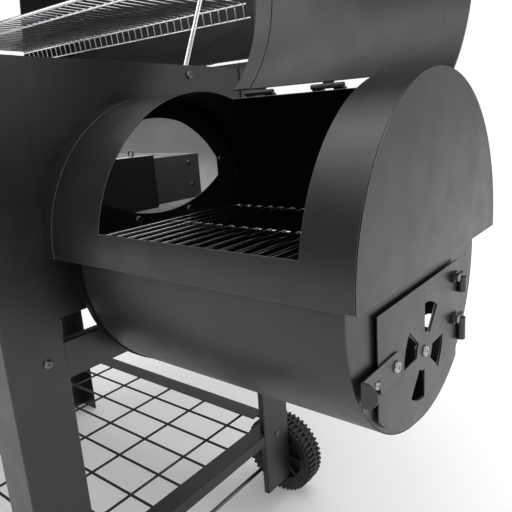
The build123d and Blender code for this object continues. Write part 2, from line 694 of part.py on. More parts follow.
def box_lid():
    """Firebox lid, drawn shut: a curved sheet with a hem inside along each end and a lip at the front."""
    centre = (BOX_Y, BOX_Z)
    skin = arc_sheet(*BOX_LID_X, centre, *BOX_LID_R, *BOX_LID_ANGLES)
    x0, x1 = BOX_LID_X
    hem_r = (BOX_LID_R[0] - 1.1, BOX_LID_R[0] + 0.3)
    hems = [arc_sheet(x0, x0 + BOX_LID_HEM, centre, *hem_r, *BOX_LID_ANGLES)]
    hems.append(arc_sheet(x1 - BOX_LID_HEM, x1, centre, *hem_r, *BOX_LID_ANGLES))
    front = arc_sheet(x0, x1, centre, BOX_LID_R[0] - 1.1, BOX_LID_R[1], 171.6, BOX_LID_ANGLES[1])
    lid = fused([skin, *hems, front])
    return lid


BOX_HANDLE_X = (600.0, 740.0)
BOX_HANDLE_ANGLE = 158.0


def box_lid_handle():
    """Bow handle: a round bar bent to stand off the lid and welded on at its ends."""
    y0, z0 = box_point(BOX_LID_R[1] + 0.6, BOX_HANDLE_ANGLE)
    y1, z1 = box_point(BOX_LID_R[1] + 42, BOX_HANDLE_ANGLE)
    left, right = BOX_HANDLE_X
    return wire_path([(left, y0, z0), (left, y1, z1), (right, y1, z1), (right, y0, z0)], 16.0, 6.0)


def box_hinge_fixed():
    pieces = []
    end = HINGE_LENGTH / 2
    for x in BOX_HINGE_X:
        leaf = arc_sheet(x - end, x + end, (BOX_Y, BOX_Z), HOUSING_R + 0.1, HOUSING_R + 1.7, 60.5, 68.6)
        barrels = []
        for x0, x1 in ((x - end, x - 8.2), (x + 8.2, x + end)):
            barrels.append(rod((x0, *BOX_PIVOT), (x1, *BOX_PIVOT), 3.4))
            barrels.append(arc_sheet(x0, x1, (BOX_Y, BOX_Z), HOUSING_R + 0.1, BOX_PIVOT_R, 68.2, 69.9))
        body = fused([leaf, *barrels])
        pieces.append(body - rod((x - 40, *BOX_PIVOT), (x + 40, *BOX_PIVOT), PIN_R + FIT))
        pieces.append(rod((x - end - 1, *BOX_PIVOT), (x + end + 1, *BOX_PIVOT), PIN_R))
    return group(pieces)


def box_hinge_moving():
    """Hinge leaves on the lid, drawn shut."""
    pieces = []
    for x in BOX_HINGE_X:
        barrel = rod((x - 7.8, *BOX_PIVOT), (x + 7.8, *BOX_PIVOT), 3.4)
        neck = arc_sheet(x - 7.8, x + 7.8, (BOX_Y, BOX_Z), BOX_PIVOT_R - 2.6, BOX_PIVOT_R - 0.6, 71.0, 76.0)
        leaf = arc_sheet(x - 20, x + 20, (BOX_Y, BOX_Z), BOX_LID_R[1] + 0.1, BOX_LID_R[1] + 1.7, 74.2, 81.5)
        pin_hole = rod((x - 40, *BOX_PIVOT), (x + 40, *BOX_PIVOT), PIN_R + FIT)
        pieces.append(fused([barrel, neck, leaf]) - pin_hole)
    return group(pieces)


def fire_grate():
    centre_x = BOX_END_X - 195.0
    return wire_grate(centre_x - 155, centre_x + 155, BOX_Y - 174, BOX_Y + 174, GRATE_Z, GRATE_PITCH, 2.0,
                      (BOX_Y - 57, BOX_Y + 75), 2.4)


def charcoal_grate():
    centre_x = BOX_END_X - 235.0
    half = 140.0
    return wire_grate(centre_x - 156, centre_x + 156, BOX_Y - half, BOX_Y + half, CHARCOAL_Z, 15.0, 2.6,
                      (BOX_Y - 100, BOX_Y, BOX_Y + 100), 3.0)


def grate_brackets():
    """Angle brackets on the firebox walls that carry the two grates."""
    brackets = []
    low_z = GRATE_Z - 2.2
    for x in (530.0, 776.0):
        wall = sqrt((HOUSING_R - SHEET_T) ** 2 - (low_z - BOX_Z) ** 2) - 0.8
        shelf_block = block(x - 14, x + 14, BOX_Y + wall - 46, BOX_Y + wall - 2, low_z - 1.6, low_z)
        upright = block(x - 14, x + 14, BOX_Y + wall - 3.6, BOX_Y + wall - 2, low_z - 20, low_z)
        bracket = fused([shelf_block, upright])
        brackets += [bracket, mirror(bracket, about=Plane.XZ.offset(-BOX_Y))]
    low_z = CHARCOAL_Z - 7.8
    for x in (490.0, 706.0):
        wall = sqrt((BARREL_R - SHEET_T) ** 2 - (low_z - 14 - BARREL_Z) ** 2) - 0.6
        shelf_block = block(x - 14, x + 14, BOX_Y + wall - 50, BOX_Y + wall - 2, low_z - 1.6, low_z)
        upright = block(x - 14, x + 14, BOX_Y + wall - 3.6, BOX_Y + wall - 2, low_z - 12, low_z)
        bracket = fused([shelf_block, upright])
        brackets += [bracket, mirror(bracket, about=Plane.XZ.offset(-BOX_Y))]
    return group(brackets)


# ---------------------------------------------------------------- ash door
def vent_slots(skew):
    slots = Sketch()
    for turn in range(4):
        a0, a1 = (angle + 90 * turn + skew for angle in VENT_ANGLES)
        slots += sector(*VENT_SLOT, a0, a1)
    return Pos(VENT_Y, VENT_Z) * slots


def ash_door():
    """Flat door with a straight top, upright sides and a bottom that follows the barrel's rim."""
    y0, y1 = DOOR_Y
    rim = Pos(BOX_Y, BARREL_Z) * Circle(DOOR_RIM_R)
    low_z = BARREL_Z - DOOR_RIM_R - 5
    outline = rim & (Pos((y0 + y1) / 2, (DOOR_TOP_Z + low_z) / 2) * Rectangle(y1 - y0, DOOR_TOP_Z - low_z))
    face = outline - vent_slots(0) - Pos(VENT_Y, VENT_Z) * Circle(3.1) - Pos(*LATCH_PIVOT) * Circle(3.1)
    for z0, z1 in KNUCKLE_Z:
        face -= Pos(DOOR_BOLT_Y, z1 + 6) * Circle(2.7)
    return along_x(face, DOOR_X - DOOR_T, DOOR_X)


def vent_disc():
    face = Pos(VENT_Y, VENT_Z) * (Circle(DISC_R) - Circle(3.0 + FIT)) - vent_slots(VENT_SKEW)
    return along_x(face, DOOR_X - DOOR_T - 1.6, DOOR_X - DOOR_T - 0.3)


def door_screws():
    """The vent's screw with its nut, and the latch's pivot screw."""
    vent = screw((DOOR_X + 0.1, VENT_Y, VENT_Z), (1, 0, 0), 11.0, 6.6, 3.0)
    vent_nut = nut((DOOR_X - DOOR_T - 7.2, VENT_Y, VENT_Z), (1, 0, 0), 2.9, 10.0, 5.0)
    latch_screw = screw((DOOR_X + LATCH_T + 0.6, *LATCH_PIVOT), (1, 0, 0), 5.5, 6.4, 3.0)
    return group([fused([vent, vent_nut]), latch_screw])


def latch():
    """Swing latch: a plate pivoted on the door, notched over the keeper, with a finger tab turned out."""
    y, z = LATCH_PIVOT
    left = -169.0
    top, bottom = z + 15.0, z - 15.0
    plate = Pos((left + y) / 2, z) * Rectangle(y - left, top - bottom) + Pos(y, z) * Circle(15.0)
    arm = Vector(KEEPER[0] - y, KEEPER[1] - z).length
    notch = Pos(y, z) * sector(arm - 4.9, arm + 4.9, 176.0, 215.0)
    plate -= notch + Pos(y, z) * Circle(3.0 + FIT)
    x0 = DOOR_X + 0.3
    body = along_x(plate, x0, x0 + LATCH_T)
    reach, r = 16.5, 12.5
    tab_z = top - r
    tab_face = Pos(x0 + (reach - r) / 2, tab_z) * Rectangle(reach - r, 2 * r)
    tab_face += Pos(x0 + reach - r, tab_z) * Circle(r)
    tab_face &= Pos(x0 + 20, z) * Rectangle(40, 30.0)
    tab = along_y(tab_face, left, left + LATCH_T)
    return fused([body, tab])


def keeper_screw():
    """Stud screwed into the end cap, with its head level with the latch."""
    return screw((DOOR_X + 0.5, *KEEPER), (1, 0, 0), DOOR_X - BARREL_X[1] + 5.0, 4.3, 2.5)


def hinge_knuckles():
    """Rolled sockets on the end cap that take the door's pins."""
    x, y = DOOR_AXIS
    pieces = []
    for z0, z1 in KNUCKLE_Z:
        socket = rod((x, y, z0), (x, y, z1), KNUCKLE_R)
        foot = block(BARREL_X[1] + 0.1, x, y - 2, y + 2, z0, z1)
        base = block(BARREL_X[1] + 0.1, BARREL_X[1] + 2.0, y - 3, y + 12, z0, z1)
        pieces.append(fused([socket, foot, base]) - rod((x, y, z0 - 1), (x, y, z1 + 1), DOOR_PIN_R + FIT))
    return group(pieces)


def door_pins():
    """Bent pins: a leg down into each socket, an elbow over it and a flattened eye on the door."""
    x, y = DOOR_AXIS
    pieces = []
    for z0, z1 in KNUCKLE_Z:
        top = z1 + 5.0
        leg_piece = rod((x, y, z0 + 3), (x, y, top), DOOR_PIN_R)
        elbow = Pos(x, y, top) * Sphere(DOOR_PIN_R)
        cross = rod((x, y, top), (x, DOOR_BOLT_Y + 6.5, top), DOOR_PIN_R)
        eye = block(DOOR_X + 0.1, DOOR_X + 4.4, DOOR_BOLT_Y - 5.5, DOOR_BOLT_Y + 8, z1 + 0.5, z1 + 11.5)
        pin = fused([leg_piece, elbow, cross, eye])
        pieces.append(pin - bore((DOOR_X, DOOR_BOLT_Y, z1 + 6), (1, 0, 0), 2.7, 30))
    return group(pieces)


def door_bolts():
    pieces = []
    for z0, z1 in KNUCKLE_Z:
        head = extrude(RegularPolygon(5.4, 6), amount=4.0)
        shank = Cylinder(2.5, 8.6, align=FROM_TOP)
        pieces.append(Plane(origin=(DOOR_X + 4.5, DOOR_BOLT_Y, z1 + 6), z_dir=(1, 0, 0)) * (head + shank))
    return group(pieces)


# ---------------------------------------------------------------- running gear
def toothed_disc(r_root, r_tip, count, share, width, skew):
    pitch = 360.0 / count
    points = []
    for n in range(count):
        start = n * pitch + skew
        end = start + pitch * share
        for r, angle in ((r_root, start), (r_tip, start + 0.6), (r_tip, end), (r_root, end + 0.6)):
            points.append(polar((0, 0), r, angle))
    return extrude(make_face(Polyline(*points, close=True)), amount=width)


def wheel():
    """Moulded wheel on a Z axis from 0 to its width, later laid along Y."""
    w = WHEEL_W
    half = w / 2
    profile = [(AXLE_R + 0.06, 1), (16, 1), (16, half - 4), (56, half - 3), (60, 7), (72, 3)]
    profile += [(80, 1.5), (83, 8), (84, half)]
    mirrored = [(r, w - z) for r, z in reversed(profile[:-1])]
    section = make_face(Polyline(*profile, *mirrored, close=True))
    body = revolve(Plane.XZ * section, Axis.Z)
    rows = [Pos(0, 0, 4.0) * toothed_disc(83.0, WHEEL_R - 0.6, LUGS, 0.5, 19.5, 0)]
    rows.append(Pos(0, 0, w - 23.5) * toothed_disc(83.0, WHEEL_R - 0.6, LUGS, 0.5, 19.5, 180.0 / LUGS))
    rib = Pos(0, 0, half - 2.5) * Cylinder(WHEEL_R, 5.0, align=FROM_BASE)
    rib -= Cylinder(78, w * 2)
    rows = [row - Cylinder(78, w * 3) for row in rows]
    spokes = []
    for n in range(8):
        for z0, z1 in ((9.0, half - 2), (half + 2, w - 9.0)):
            spokes.append(Rot(0, 0, 45 * n) * block(14, 62, -2.2, 2.2, z0, z1))
    return fused([body, rib, *rows, *spokes])


def placed_wheel(side):
    base = Plane(origin=(WHEEL_X, side * WHEEL_Y, WHEEL_R), z_dir=(0, side, 0))
    return base * wheel()


def axle():
    reach = WHEEL_Y + WHEEL_W + 11
    return rod((WHEEL_X, -reach, WHEEL_R), (WHEEL_X, reach, WHEEL_R), AXLE_R)


def axle_caps():
    """Push-on caps outside the wheels and washers between wheels and legs."""
    pieces = []
    for side in (-1, 1):
        outer = side * (WHEEL_Y + WHEEL_W + 0.4)
        cap = rod((WHEEL_X, outer, WHEEL_R), (WHEEL_X, outer + side * 14, WHEEL_R), 11)
        cap = fillet(cap.edges().sort_by(Axis.Y)[-1 if side > 0 else 0], 4)
        hole = rod((WHEEL_X, outer - side, WHEEL_R), (WHEEL_X, outer + side * 11, WHEEL_R), AXLE_R)
        washer_at = side * (HALF_DEPTH + 0.2)
        washer = rod((WHEEL_X, washer_at, WHEEL_R), (WHEEL_X, side * (WHEEL_Y + 0.6), WHEEL_R), 9)
        pieces += [cap - hole, washer - rod((WHEEL_X, -400, WHEEL_R), (WHEEL_X, 400, WHEEL_R), AXLE_R)]
    return group(pieces)


# ---------------------------------------------------------------- chimney
def chimney_elbow():
    """Mitred elbow from the end panel to the pipe."""
    r = CHIMNEY_R
    stub = rod((-PANEL_X - 0.1, 0, CHIMNEY_AXIS_Z), (CHIMNEY_X, 0, CHIMNEY_AXIS_Z), r)
    riser = rod((CHIMNEY_X, 0, CHIMNEY_AXIS_Z - r), (CHIMNEY_X, 0, CHIMNEY_AXIS_Z + 80), r)
    bore_stub = rod((-PANEL_X + 1, 0, CHIMNEY_AXIS_Z), (CHIMNEY_X, 0, CHIMNEY_AXIS_Z), r - 1.5)
    bore_riser = rod((CHIMNEY_X, 0, CHIMNEY_AXIS_Z - r + 1.5), (CHIMNEY_X, 0, CHIMNEY_AXIS_Z + 81), r - 1.5)
    flange = rod((-PANEL_X - 0.1, 0, CHIMNEY_AXIS_Z), (-PANEL_X - 2.1, 0, CHIMNEY_AXIS_Z), r + 14)
    return fused([stub, riser, flange]) - bore_stub - bore_riser


CAP_AXIS = (CHIMNEY_R + 9.0, CHIMNEY_Z[1] + 4.0)


def chimney_cap():
    """Flap that lies on the pipe's mouth and swings up about a pin behind it."""
    z = CHIMNEY_Z[1] + 0.6
    disc = rod((CHIMNEY_X, 0, z), (CHIMNEY_X, 0, z + 1.6), CHIMNEY_R + 3)
    neck = block(CHIMNEY_X - 7, CHIMNEY_X + 7, CHIMNEY_R, CAP_AXIS[0], z, z + 1.6)
    roll = rod((CHIMNEY_X - 7, *CAP_AXIS), (CHIMNEY_X + 7, *CAP_AXIS), 3.8)
    tab = block(CHIMNEY_X - 9, CHIMNEY_X + 9, -CHIMNEY_R - 20, -CHIMNEY_R, z, z + 1.6)
    pin_hole = rod((CHIMNEY_X - 20, *CAP_AXIS), (CHIMNEY_X + 20, *CAP_AXIS), 2.0 + FIT)
    return fused([disc, neck, roll, tab]) - pin_hole


def chimney_pipe():
    """Straight pipe that slips over the elbow, with ears and a pin for the cap welded on behind."""
    z0, z1 = CHIMNEY_AXIS_Z + 66, CHIMNEY_Z[1]
    y, z = CAP_AXIS
    pieces = [rod((CHIMNEY_X, 0, z0), (CHIMNEY_X, 0, z1), CHIMNEY_R + 1.4)]
    pieces.append(block(CHIMNEY_X - 10.7, CHIMNEY_X + 10.7, CHIMNEY_R - 2, y + 4, z - 30, z - 12))
    for side in (-1, 1):
        x = CHIMNEY_X + side * 9.5
        pieces.append(block(x - 1.2, x + 1.2, CHIMNEY_R + 4.2, y + 4, z - 14, z + 3.5))
    pieces.append(rod((CHIMNEY_X - 13, *CAP_AXIS), (CHIMNEY_X + 13, *CAP_AXIS), 2.0))
    return fused(pieces) - rod((CHIMNEY_X, 0, z0 - 1), (CHIMNEY_X, 0, z1 + 1), CHIMNEY_R + 0.3)


# ---------------------------------------------------------------- fasteners
def frame_bolts():
    bolts = []
    for y, z in ((BRACE_BOLT_Y, BRACE_BOLT_Z), (RAIL_BOLT_Y, RAIL_BOLT_Z)):
        for side_x in (-1, 1):
            for side_y in (-1, 1):
                head = (side_x * (HALF_LENGTH + 0.1), side_y * y, z)
                bolts.append(screw(head, (side_x, 0, 0), 8.0))
    return group(bolts)


def pair(right, left):
    return group([right, left])


def lid_parts():
    """Everything that swings with the main lid, drawn shut."""
    return {
        "main_lid": main_lid(),
        "main_lid_ends": pair(lid_end(1), lid_end(-1)),
        "rack_link_studs": link_studs(),
        "lid_handle": handle_bar(),
        "lid_handle_posts": handle_posts(),
        "thermometer_body": thermometer_body(),
        "thermometer_dial": thermometer_dial(),
        "thermometer_needle": thermometer_needle(),
        "lid_hinge_moving": lid_hinge_moving(),
    }


def box_lid_parts():
    """Everything that swings with the firebox lid, drawn shut."""
    return {
        "firebox_lid": box_lid(),
        "firebox_lid_handle": box_lid_handle(),
        "firebox_hinge_moving": box_hinge_moving(),
    }


def frame_parts():
    right_leg = leg(WHEEL_LEG_BOTTOM_Z)
    left_leg = mirror_x(leg(0.0))
    return {
        "leg_rear_right": right_leg,
        "leg_front_right": mirror_y(right_leg),
        "leg_rear_left": left_leg,
        "leg_front_left": mirror_y(left_leg),
        "end_braces": pair(brace(), mirror_x(brace())),
        "end_rails": pair(end_rail(), mirror_x(end_rail())),
        "side_rails": pair(side_rail(), mirror_y(side_rail())),
        "wire_shelf": shelf(),
        "frame_bolts": frame_bolts(),
        "axle": axle(),
        "axle_caps": axle_caps(),
        "wheel_rear": placed_wheel(1),
        "wheel_front": placed_wheel(-1),
    }


def chamber_parts():
    return {
        "end_panel_right": end_panel_right(),
        "end_panel_left": end_panel_left(),
        "tub": tub(),
        "grate_rests": grate_rests(),
        "cooking_grate_right": cooking_grate(1),
        "cooking_grate_left": cooking_grate(-1),
        "charcoal_tray": charcoal_tray(),
        "tray_end_bracket": tray_bracket(),
        "lid_hinge_fixed": lid_hinge_fixed(),
        "warming_rack": warming_rack(),
        "rack_arms": pair(rack_arm(1), rack_arm(-1)),
        "rack_arm_bolts": arm_bolts(),
        "chimney_elbow": chimney_elbow(),
        "chimney_pipe": chimney_pipe(),
        "chimney_cap": chimney_cap(),
    }


def firebox_parts():
    return {
        "firebox_housing": housing(),
        "firebox_housing_end": housing_end(),
        "firebox_collar": collar(),
        "firebox_mounting_ring": mounting_ring(),
        "firebox_screws": firebox_screws(),
        "firebox_barrel": barrel(),
        "barrel_left_disc": barrel_left_disc(),
        "barrel_end_cap": end_cap(),
        "firebox_hinge_fixed": box_hinge_fixed(),
        "fire_grate": fire_grate(),
        "charcoal_grate": charcoal_grate(),
        "grate_brackets": grate_brackets(),
        "ash_door": ash_door(),
        "vent_disc": vent_disc(),
        "door_screws": door_screws(),
        "latch": latch(),
        "keeper_screw": keeper_screw(),
        "door_hinge_knuckles": hinge_knuckles(),
        "door_pins": door_pins(),
        "door_bolts": door_bolts(),
    }


def build():
    parts = {**frame_parts(), **chamber_parts(), **firebox_parts()}
    for name, shape in lid_parts().items():
        parts[name] = turned(shape, LID_PIVOT, LID_OPEN)
    for name, shape in box_lid_parts().items():
        parts[name] = turned(shape, BOX_PIVOT, BOX_LID_OPEN)
    return parts


def save_all(parts):
    boxes = [shape.bounding_box() for shape in parts.values()]
    middle_x = (min(box.min.X for box in boxes) + max(box.max.X for box in boxes)) / 2
    middle_y = (min(box.min.Y for box in boxes) + max(box.max.Y for box in boxes)) / 2
    shift = Location((-round(middle_x, 1), -round(middle_y, 1), 0))
    os.makedirs("parts", exist_ok=True)
    for name, shape in parts.items():
        export_step(shape.moved(shift), f"parts/{name}.step")
    print(len(parts), "parts, moved by", shift.position)


if __name__ == "__main__":
    save_all(build())
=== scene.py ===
import json
import math

import bmesh
import bpy
from mathutils import Matrix, Vector


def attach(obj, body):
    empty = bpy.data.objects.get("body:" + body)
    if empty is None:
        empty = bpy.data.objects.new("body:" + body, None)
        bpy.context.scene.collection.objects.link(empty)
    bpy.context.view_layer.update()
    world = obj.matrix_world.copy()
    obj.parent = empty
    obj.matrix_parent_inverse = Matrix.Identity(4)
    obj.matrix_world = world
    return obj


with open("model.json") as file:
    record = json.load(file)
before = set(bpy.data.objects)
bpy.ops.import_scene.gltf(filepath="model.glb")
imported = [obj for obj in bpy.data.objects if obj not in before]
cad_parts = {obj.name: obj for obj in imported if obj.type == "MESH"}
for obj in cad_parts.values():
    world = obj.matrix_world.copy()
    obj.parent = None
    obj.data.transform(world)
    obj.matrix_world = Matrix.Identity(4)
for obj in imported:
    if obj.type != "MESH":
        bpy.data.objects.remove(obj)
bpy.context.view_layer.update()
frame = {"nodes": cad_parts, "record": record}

NODES = frame["nodes"]

# ------------------------------------------------------------------ camera
CAMERA_AT = Vector((0.8714, -0.6122, 0.8376))
CAMERA_RIGHT = Vector((0.80743, 0.58721, -0.05692))
CAMERA_FORWARD = Vector((-0.58271, 0.77870, -0.23255))
CAMERA_LENS = 37.46
CAMERA_SHIFT = (-0.0550, -0.0211)


def make_camera():
    data = bpy.data.cameras.new("camera")
    data.lens = CAMERA_LENS
    data.sensor_width = 36.0
    data.sensor_fit = "HORIZONTAL"
    data.shift_x, data.shift_y = CAMERA_SHIFT
    data.clip_start = 0.02
    data.clip_end = 60.0
    camera = bpy.data.objects.new("camera", data)
    back = -CAMERA_FORWARD.normalized()
    right = (CAMERA_RIGHT - back * CAMERA_RIGHT.dot(back)).normalized()
    up = back.cross(right)
    turn = Matrix((right, up, back)).transposed().to_4x4()
    camera.matrix_world = Matrix.Translation(CAMERA_AT) @ turn
    bpy.context.scene.collection.objects.link(camera)
    bpy.context.scene.camera = camera


# ------------------------------------------------------------------ materials
class Shader:
    """A small wrapper that builds one node material round a Principled shader."""

    def __init__(self, name, colour, roughness, metallic=0.0, **sockets):
        self.material = bpy.data.materials.new(name)
        self.material.use_nodes = True
        self.tree = self.material.node_tree
        self.tree.nodes.clear()
        output = self.tree.nodes.new("ShaderNodeOutputMaterial")
        self.main = self.tree.nodes.new("ShaderNodeBsdfPrincipled")
        self.tree.links.new(self.main.outputs["BSDF"], output.inputs["Surface"])
        self.set(self.main, **{"Base Color": (*colour, 1.0), "Roughness": roughness, "Metallic": metallic})
        self.set(self.main, **sockets)
        self.normal = None
        self.place = self.node("ShaderNodeTexCoord").outputs["Object"]

    def set(self, node, **values):
        for key, value in values.items():
            node.inputs[key].default_value = value

    def node(self, kind, **properties):
        made = self.tree.nodes.new(kind)
        for key, value in properties.items():
            setattr(made, key, value)
        return made

    def link(self, source, target):
        self.tree.links.new(source, target)

    def noise(self, scale, detail=3.0, stretch=(1.0, 1.0, 1.0), rough=0.55):
        mapping = self.node("ShaderNodeMapping")
        mapping.inputs["Scale"].default_value = stretch
        self.link(self.place, mapping.inputs["Vector"])
        noise = self.node("ShaderNodeTexNoise")
        self.set(noise, Scale=scale, Detail=detail, Roughness=rough)
        self.link(mapping.outputs["Vector"], noise.inputs["Vector"])
        return noise.outputs["Fac"]

    def ranged(self, value, low, high, from_low=0.3, from_high=0.7):
        node = self.node("ShaderNodeMapRange")
        self.set(node, **{"From Min": from_low, "From Max": from_high, "To Min": low, "To Max": high})
        self.link(value, node.inputs["Value"])
        return node.outputs["Result"]

    def mixed(self, factor, colour_a, colour_b):
        mix = self.node("ShaderNodeMix", data_type="RGBA")
        self.link(factor, mix.inputs["Factor"])
        for socket, colour in ((mix.inputs[6], colour_a), (mix.inputs[7], colour_b)):
            if isinstance(colour, tuple):
                socket.default_value = (*colour, 1.0)
            else:
                self.link(colour, socket)
        return mix.outputs[2]

    def bump(self, height, strength, distance):
        node = self.node("ShaderNodeBump")
        self.set(node, Strength=strength, Distance=distance)
        self.link(height, node.inputs["Height"])
        if self.normal is not None:
            self.link(self.normal, node.inputs["Normal"])
        self.normal = node.outputs["Normal"]
        return self

    def soft_edges(self, radius):
        bevel = self.node("ShaderNodeBevel", samples=4)
        self.set(bevel, Radius=radius)
        self.normal = bevel.outputs["Normal"]
        return bevel.outputs["Normal"]

    def edge_mask(self, bevel_normal):
        """Near 1 where the softened normal leaves the true one, which is along edges."""
        geometry = self.node("ShaderNodeNewGeometry")
        dot = self.node("ShaderNodeVectorMath", operation="DOT_PRODUCT")
        self.link(bevel_normal, dot.inputs[0])
        self.link(geometry.outputs["True Normal"], dot.inputs[1])
        return self.ranged(dot.outputs["Value"], 1.0, 0.0, 0.80, 0.985)

    def done(self, colour=None, roughness=None):
        if colour is not None:
            self.link(colour, self.main.inputs["Base Color"])
        if roughness is not None:
            self.link(roughness, self.main.inputs["Roughness"])
        if self.normal is not None:
            self.link(self.normal, self.main.inputs["Normal"])
        return self.material


def scaled(colour, factor):
    return tuple(min(1.0, channel * factor) for channel in colour)


# Edge colours: a painted highlight where light catches the edges of the black coat.
DULL_EDGE_HIGHLIGHT = (0.05, 0.05, 0.052)
BRIGHT_EDGE_HIGHLIGHT = (0.22, 0.22, 0.225)


def powder_coat(name, colour, roughness, grain=900.0, edge=DULL_EDGE_HIGHLIGHT, peel=0.05, inside=None):
    """Satin powder coat: fine orange peel, faint clouding and edges painted lighter as a painted highlight.
    inside(shader) may give a mask of the side that faces the fire, which is covered with soot."""
    shader = Shader(name, colour, roughness, **{"Specular IOR Level": 0.5})
    softened = shader.soft_edges(0.0007)
    painted_edge_highlight = shader.edge_mask(softened)
    cloud = shader.noise(6.0, 3.0)
    speck = shader.noise(grain, 2.0)
    tone = shader.mixed(shader.ranged(cloud, 0.0, 1.0), scaled(colour, 0.8), scaled(colour, 1.25))
    # Edges painted lighter as a painted highlight.
    tone = shader.mixed(painted_edge_highlight, tone, edge)
    rough = shader.ranged(shader.noise(22.0, 4.0), roughness - 0.05, roughness + 0.06)
    shader.bump(speck, peel, 0.0004)
    shader.bump(shader.noise(38.0, 2.0), 0.05, 0.0009)
    if inside is not None:
        soot = inside(shader)
        burnt = shader.mixed(cloud, (0.0015, 0.0015, 0.0015), (0.006, 0.0055, 0.005))
        tone = shader.mixed(soot, tone, burnt)
        shader.link(shader.ranged(soot, 0.5, 0.06, 0.0, 1.0), shader.main.inputs["Specular IOR Level"])
    return shader.done(tone, rough)


def beyond(axis, limit, above):
    """Mask of the part of a plate whose coordinate lies above (or below) a limit."""
    def mask(shader):
        parts = shader.node("ShaderNodeSeparateXYZ")
        shader.link(shader.place, parts.inputs[0])
        test = shader.node("ShaderNodeMath", operation="GREATER_THAN" if above else "LESS_THAN")
        test.inputs[1].default_value = limit
        shader.link(parts.outputs[axis], test.inputs[0])
        return test.outputs[0]
    return mask


def within(centre_z, radius):
    """Mask of what lies inside a cylinder along the firebox's axis."""
    def mask(shader):
        moved = shader.node("ShaderNodeVectorMath", operation="SUBTRACT")
        moved.inputs[1].default_value = (0.0, FIREBOX_Y, centre_z)
        shader.link(shader.place, moved.inputs[0])
        flat = shader.node("ShaderNodeVectorMath", operation="MULTIPLY")
        flat.inputs[1].default_value = (0.0, 1.0, 1.0)
        shader.link(moved.outputs["Vector"], flat.inputs[0])
        size = shader.node("ShaderNodeVectorMath", operation="LENGTH")
        shader.link(flat.outputs["Vector"], size.inputs[0])
        test = shader.node("ShaderNodeMath", operation="LESS_THAN")
        test.inputs[1].default_value = radius
        shader.link(size.outputs["Value"], test.inputs[0])
        return test.outputs[0]
    return mask


def sooted(name, colour):
    """Matt black with soot blotches."""
    shader = Shader(name, colour, 0.7, **{"Specular IOR Level": 0.15})
    cloud = shader.noise(14.0, 5.0)
    tone = shader.mixed(shader.ranged(cloud, 0.0, 1.0), scaled(colour, 0.6), scaled(colour, 1.5))
    shader.bump(shader.noise(260.0, 4.0), 0.2, 0.0005)
    return shader.done(tone, shader.ranged(cloud, 0.6, 0.82))


def plated(name, colour, roughness, smear=18.0):
    """Bright plated wire or hardware with faint smears."""
    shader = Shader(name, colour, roughness, 1.0)
    smears = shader.noise(smear, 4.0)
    tone = shader.mixed(shader.ranged(smears, 0.0, 1.0), scaled(colour, 0.86), colour)
    shader.bump(shader.noise(420.0, 2.0), 0.03, 0.0003)
    return shader.done(tone, shader.ranged(smears, roughness * 0.7, roughness * 1.5))


def brushed(name, colour, roughness):
    shader = Shader(name, colour, roughness, 0.9)
    shader.soft_edges(0.0005)
    lines = shader.noise(90.0, 2.0, (1.0, 1.0, 22.0))
    tone = shader.mixed(shader.ranged(lines, 0.0, 1.0), scaled(colour, 0.8), scaled(colour, 1.08))
    shader.bump(lines, 0.08, 0.0002)
    return shader.done(tone, shader.ranged(lines, roughness - 0.06, roughness + 0.1))


def moulded(name, colour, roughness):
    """Moulded plastic: fine grain with a dusty, slightly paler surface."""
    shader = Shader(name, colour, roughness, **{"Specular IOR Level": 0.42})
    shader.soft_edges(0.0008)
    dust = shader.noise(30.0, 5.0)
    tone = shader.mixed(shader.ranged(dust, 0.0, 1.0), scaled(colour, 0.8), scaled(colour, 1.5))
    shader.bump(shader.noise(1400.0, 2.0), 0.12, 0.0003)
    return shader.done(tone, shader.ranged(dust, roughness - 0.07, roughness + 0.1))


# Places in metres. The shifts lead from the chamber's middle to the frame's origin.
SHIFT_X = -0.1695
SHIFT_Y = -0.0617
FIREBOX_Y = SHIFT_Y - 0.013
ARCH_Z = 0.688
ARCH_MID_R = 0.1894                       # middle of the housing's sheet
HOUSING_END_MID_X = SHIFT_X + 0.8472
BARREL_Z = 0.6614
BARREL_MID_R = 0.1721
DISC_MID_X = SHIFT_X + 0.4403
END_CAP_MID_X = SHIFT_X + 0.8255
LEFT_PANEL_MID_X = SHIFT_X - 0.4004
TUB_BEND_Y = 0.118                        # centre of the tub's bends, from its middle
TUB_BEND_Z = 0.780
TUB_BEND_R = 0.1294                       # to the middle of the tub's sheet
TUB_LEDGE_Z = 0.9155

BLACK = (0.0075, 0.0077, 0.0083)
FIREBOX_BLACK = (0.0085, 0.0087, 0.0092)
# Grey of the chamber's inner side, painted light for the light that falls into it.
CHAMBER_PAINTED_LIGHT_GREY = (0.11, 0.11, 0.113)
MATERIALS = {
    "black_sheet": powder_coat("black_sheet_look", BLACK, 0.36),
    "firebox_sheet": powder_coat("firebox_sheet_look", FIREBOX_BLACK, 0.36),
    "chrome_wire": plated("chrome_wire_look", (0.76, 0.76, 0.78), 0.10),
    "black_wire": powder_coat("black_wire_look", (0.010, 0.010, 0.011), 0.34, 1200.0),
    "zinc": brushed("zinc_look", (0.34, 0.34, 0.35), 0.26),
    "dark_bolt": brushed("dark_bolt_look", (0.12, 0.12, 0.125), 0.27),
    "wheel_plastic": moulded("wheel_plastic_look", (0.012, 0.012, 0.0125), 0.5),
    "tray_steel": brushed("tray_steel_look", (0.32, 0.32, 0.33), 0.42),
    "gauge_case": brushed("gauge_case_look", (0.62, 0.62, 0.63), 0.25),
    "gauge_dial": moulded("gauge_dial_look", (0.80, 0.79, 0.74), 0.5),
    "gauge_needle": moulded("gauge_needle_look", (0.45, 0.03, 0.02), 0.4),
    "handle_grip": powder_coat("handle_grip_look", (0.010, 0.010, 0.011), 0.3),
}
